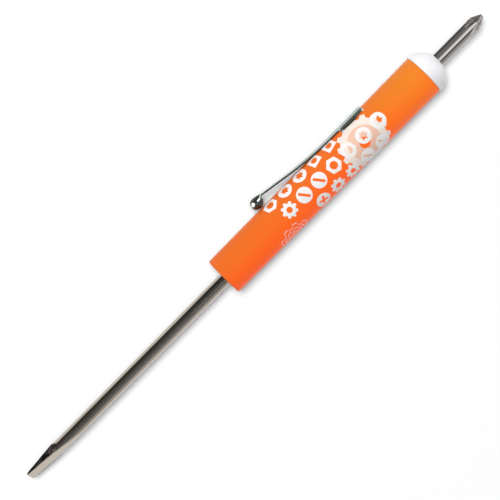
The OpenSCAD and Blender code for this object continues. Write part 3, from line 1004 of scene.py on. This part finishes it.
def add_floor():
    """A white floor that keeps the shadow. Reflections show a dark bench beside the tool,
    which begins at another distance from the axis by each of its parts."""
    mesh = bmesh.new()
    half, below = 1.5, 0.02 * MM
    mesh.faces.new([mesh.verts.new((x * half, y * half, -below))
                    for x, y in ((-1, -1), (1, -1), (1, 1), (-1, 1))])
    shader, place = new_material("floor_white")
    along, out, up = split(shader, place)
    past_blade, by_arm, by_saddle, by_bit = (
        shader.smooth(along, start * MM, end * MM)
        for start, end in ((-16, -9), (9, 13), (31.5, 33.5), (56, 60)))
    edge = (98.5 - past_blade * 90 + by_arm * 7 - by_saddle * 4.9 - by_bit * 6) * MM
    dark = shader.smooth(out - edge, -1 * MM, 1 * MM)
    paper = shader.node("BsdfDiffuse", None, {"Color": rgba(grey(0.05))})
    glow = shader.node("Emission", None, {"Strength": 0.15})
    low, high = (shader.node("Emission", None, {"Color": rgba(tint)})
                 for tint in ((0.11, 0.125, 0.09), (0.15, 0.145, 0.13)))
    sheet = shader.node("AddShader", None, {0: paper, 1: glow})
    bench = shader.node("MixShader", None, {0: by_saddle, 1: low, 2: high})
    reflected = dark * shader.node("LightPath", output="Is Glossy Ray")
    material = shader.output(shader.node("MixShader", None,
                                         {0: reflected, 1: sheet, 2: bench}))
    floor = add_piece("floor", mesh, material)
    return floor


def add_lamps(sizes, floor):
    """Soft lamps, none of them seen in reflections: the key lights all but the floor, two
    lamps light the floor alone, and a warm one keeps the barrel vivid on its far side"""
    white, warm = grey(1.0), (1.0, 0.08, 0.02)
    # Name, power, tint, distance and width in metres, lean and swing in degrees, and how
    # the floor is linked
    lamps = (("key_lamp", sizes.key, white, 0.4, 0.30, 27.0, 15.0, "EXCLUDE"),
             ("shadow_lamp", sizes.shadow_key, white, 3.0, 1.08, 15.8, 0.0, "INCLUDE"),
             ("shadow_fill", sizes.shadow_fill, white, 3.0, 0.81, 4.5, 0.0, "INCLUDE"),
             ("warm_fill", sizes.warm_fill, warm, 0.4, 0.2, -65.0, 0.0, None))
    for name, power, tint, away, width, lean, swing, state in lamps:
        data = bpy.data.lights.new(name, "AREA")
        data.shape = "DISK"
        data.size = width
        data.energy = power
        data.color = tint
        toward = direction(radians(lean), radians(swing))
        lamp = bpy.data.objects.new(name, data)
        lamp.location = AXIS + toward * away
        lamp.rotation_euler = toward.to_track_quat("Z", "Y").to_euler()
        lamp.visible_glossy = False
        bpy.context.scene.collection.objects.link(lamp)
        receivers = bpy.data.collections.new(name + "_receivers")
        if state:
            receivers.objects.link(floor)
            receivers.collection_objects[0].light_linking.link_state = state
        lamp.light_linking.receiver_collection = receivers


def add_tent():
    """A small light tent over the cross bit, seen in reflections alone. Past the point its
    light comes in bands, for the flutes' run-outs and the point's cone."""
    mesh = bmesh.new()
    radius, low, high, half_turn, spans = 12 * MM, 59 * MM, 90 * MM, 116, 60
    rows = []
    for i in range(spans + 1):
        turn = radians(90 - half_turn * (2 * i / spans - 1))
        rows.append([mesh.verts.new(at_turn(x, radius, turn, AXIS)) for x in (low, high)])
    for one, other in zip(rows, rows[1:]):
        mesh.faces.new((one[0], one[1], other[1], other[0]))
    shader, place = new_material("tent_light")
    along, out, up = split(shader, place)
    clip_side = shader.smooth(out - AXIS.y, -2.0 * MM, -1.4 * MM)
    tone = shader.round_ramp(out - AXIS.y, up - AXIS.z, OVER_BIT)
    # Start and end of the change in millimetres, level away from the clip, level beside it
    bands = ((72.5, 73.5, 0.38, 0.38), (74.6, 75.4, 1.8, 0.2), (77.5, 79, 0.15, 0.15),
             (80.5, 82, 2.2, 0.15))
    for start, end, far, near in bands:
        tone = shader.mix(shader.smooth(along, start * MM, end * MM), tone,
                          shader.mix(clip_side, grey(far), grey(near)))
    material = shader.output(shader.node("Emission", None, {"Color": tone}))
    tent = add_piece("light_tent", mesh, material)
    tent.visible_camera = tent.visible_diffuse = False
    tent.visible_transmission = tent.visible_shadow = False


def light_world(context, sizes):
    """Even light for the surfaces, a white background, and a studio for the reflections"""
    world = bpy.data.worlds.new("studio")
    context.scene.world = world
    shader = Shader(world)
    x, y, z = split(shader, shader.node("TexCoord", output="Generated"))
    blade, clip, bit = (shader.round_ramp(y, z, levels)
                        for levels in (OVER_BLADE, OVER_CLIP, BEYOND_BIT))
    studio = shader.mix(shader.smooth(x, -0.03, 0.0), blade, clip)
    studio = shader.mix(shader.smooth(x, 0.18, 0.26), studio, bit)
    for (wx, wy, wz), rim, full, level in WINDOWS:
        toward = x * wx + y * wy + z * wz
        studio = shader.mix(shader.smooth(toward, rim, full), studio, grey(level))
    glossy, seen = (shader.node("LightPath", output=f"Is {kind} Ray")
                    for kind in ("Glossy", "Camera"))
    level = shader.mix(glossy, grey(sizes.ambient), studio)
    level = shader.mix(seen, level, grey(1.0))
    back = shader.node("Background", None, {"Color": level, "Strength": 1.0})
    shader.node("OutputWorld", None, {"Surface": back})


class SCREWDRIVER_OT_stage(bpy.types.Operator):
    """White floor, soft light, a studio to reflect, and the camera at the photo's angle"""

    bl_idname = "screwdriver.stage"
    bl_label = "Stage"

    def execute(self, context):
        sizes = context.scene.screwdriver_stage
        add_camera(context, sizes)
        floor = add_floor()
        add_lamps(sizes, floor)
        add_tent()
        light_world(context, sizes)
        context.scene.view_settings.view_transform = "Standard"
        return {"FINISHED"}


class SCREWDRIVER_PT_panel(bpy.types.Panel):
    bl_idname = "SCREWDRIVER_PT_panel"
    bl_label = "Pocket screwdriver"
    bl_space_type = "VIEW_3D"
    bl_region_type = "UI"
    bl_category = "Screwdriver"

    def draw(self, context):
        for operator in OPERATORS:
            self.layout.operator(operator.bl_idname)


GROUPS = {
    "screwdriver_rods": RodSizes,
    "screwdriver_handle": HandleSizes,
    "screwdriver_clip": ClipSizes,
    "screwdriver_print": PrintSizes,
    "screwdriver_finishes": Finishes,
    "screwdriver_stage": StageSizes,
}
OPERATORS = (
    SCREWDRIVER_OT_stage,
    SCREWDRIVER_OT_barrel,
    SCREWDRIVER_OT_cap,
    SCREWDRIVER_OT_blade,
    SCREWDRIVER_OT_cross_bit,
    SCREWDRIVER_OT_clip,
    SCREWDRIVER_OT_print,
)


def register():
    for cls in (*GROUPS.values(), *OPERATORS, SCREWDRIVER_PT_panel):
        bpy.utils.register_class(cls)
    for name, group in GROUPS.items():
        setattr(bpy.types.Scene, name, PointerProperty(type=group))


def unregister():
    for name in GROUPS:
        delattr(bpy.types.Scene, name)
    for cls in (SCREWDRIVER_PT_panel, *OPERATORS, *GROUPS.values()):
        bpy.utils.unregister_class(cls)


def main():
    register()
    bpy.ops.screwdriver.stage()
    bpy.ops.screwdriver.barrel()
    bpy.ops.screwdriver.cap()
    bpy.ops.screwdriver.blade()
    bpy.ops.screwdriver.cross_bit()
    bpy.ops.screwdriver.clip()
    bpy.ops.screwdriver.print()


if __name__ == "__main__":
    main()
